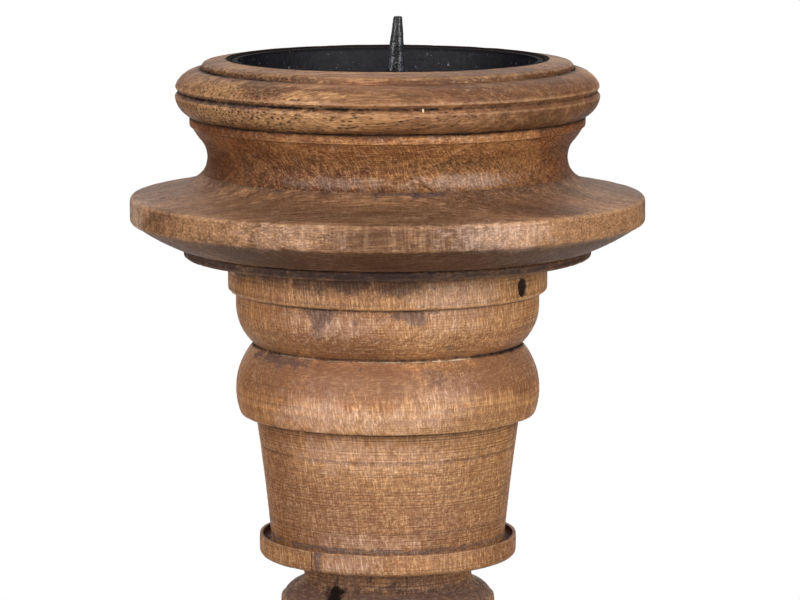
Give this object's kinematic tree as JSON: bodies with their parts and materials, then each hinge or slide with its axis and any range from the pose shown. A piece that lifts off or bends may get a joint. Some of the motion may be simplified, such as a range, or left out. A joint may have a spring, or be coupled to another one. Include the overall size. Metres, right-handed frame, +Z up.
{
  "type": "pricket candle stand",
  "caption": "Turned wooden baluster stand with a wide drip plate and an iron dish whose upright spike holds a pillar candle.",
  "frame": {"origin": "middle of the felt's underside, on the surface that the stand rests on", "axes": "+Z up along the turned axis, +X to the viewer's right, -Y towards the viewer of the picture"},
  "size_m": [0.16, 0.16, 0.3807],
  "materials": {
    "turned_board": "waxed face grain, worn",
    "turned_column": "waxed long grain, worn",
    "black_iron": "rough black paint",
    "zinc_steel": "zinc plated",
    "beech_dowel": "bare",
    "felt": "pressed wool felt"
  },
  "bodies": {
    "root": {"foot_board": "turned_board", "base_plate": "turned_board", "base_cap": "turned_board", "drip_plate": "turned_board", "cup_neck": "turned_board", "cup_rim": "turned_board", "lower_column": "turned_column", "upper_column": "turned_column", "candle_pan": "black_iron", "pricket_spike": "black_iron", "pan_screws": "black_iron", "base_lag_screw": "zinc_steel", "base_lag_washer": "zinc_steel", "cup_lag_screw": "zinc_steel", "cup_lag_washer": "zinc_steel", "spike_washer": "zinc_steel", "column_dowel": "beech_dowel", "felt_disc": "felt"}
  },
  "joints": []
}
